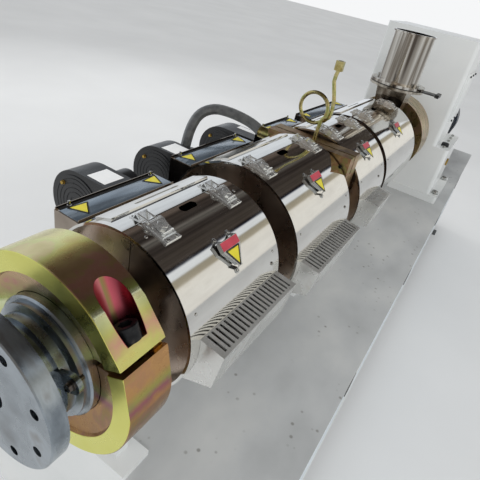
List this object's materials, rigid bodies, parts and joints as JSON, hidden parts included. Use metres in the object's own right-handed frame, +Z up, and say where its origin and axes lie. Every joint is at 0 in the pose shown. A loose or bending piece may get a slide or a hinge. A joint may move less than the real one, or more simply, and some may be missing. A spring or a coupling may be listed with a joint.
{
  "type": "plastic extruder",
  "caption": "Single-screw plastic extruder with a vented barrel, polished heating-zone covers, hopper, gearbox and motor on a floor-standing base.",
  "frame": {"origin": "on the floor, under the barrel axis, at the near edge of the first heating zone's cover", "axes": "+X along the barrel from the die end to the hopper and drive, +Z up, and -Y towards the operator's side"},
  "size_m": [3.616, 0.865, 1.48],
  "materials": {
    "white_paint": "satin enamel",
    "grey_paint": "satin enamel",
    "pale_blue_paint": "satin enamel",
    "dark_paint": "satin enamel",
    "mirror_stainless": "mirror polished",
    "sheet_stainless": "brushed",
    "zinc_plate": "yellow zinc passivated",
    "machined_steel": "turned and oiled",
    "cast_steel": "oxidised",
    "black_fan": "satin black",
    "navy_paint": "satin enamel",
    "braided_hose": "braided wire"
  },
  "bodies": {
    "root": {"base_plinth": "dark_paint", "base_cabinet": "white_paint", "base_top_plate": "grey_paint", "base_doors": "pale_blue_paint", "barrel": "machined_steel", "screw": "machined_steel", "barrel_supports": "white_paint", "die_adapter": "machined_steel", "clamp_ring_upper": "zinc_plate", "clamp_ring_lower": "zinc_plate", "cover_front_1": "mirror_stainless", "cover_front_2": "mirror_stainless", "cover_front_3": "mirror_stainless", "cover_front_4": "mirror_stainless", "cover_rear_1": "mirror_stainless", "cover_rear_2": "mirror_stainless", "cover_rear_3": "mirror_stainless", "cover_rear_4": "mirror_stainless", "end_plates": "cast_steel", "toggle_latches": "sheet_stainless", "hot_surface_brackets": "sheet_stainless", "vent_hood_1": "mirror_stainless", "vent_hood_2": "mirror_stainless", "vent_hood_3": "mirror_stainless", "terminal_box_1": "mirror_stainless", "terminal_box_2": "mirror_stainless", "terminal_box_3": "mirror_stainless", "terminal_box_4": "mirror_stainless", "terminal_box_lids": "mirror_stainless", "blower_1": "black_fan", "blower_2": "black_fan", "blower_3": "black_fan", "blower_motors": "black_fan", "vent_block": "zinc_plate", "siphon_pipe": "zinc_plate", "vacuum_hose": "braided_hose", "pipe_fittings": "zinc_plate", "feed_throat": "cast_steel", "hopper_chute": "sheet_stainless", "gate_slide": "sheet_stainless", "hopper_tube": "mirror_stainless", "drive_flange": "zinc_plate", "gearbox": "white_paint", "coupling_housing": "white_paint", "drive_motor": "navy_paint"}
  },
  "joints": []
}
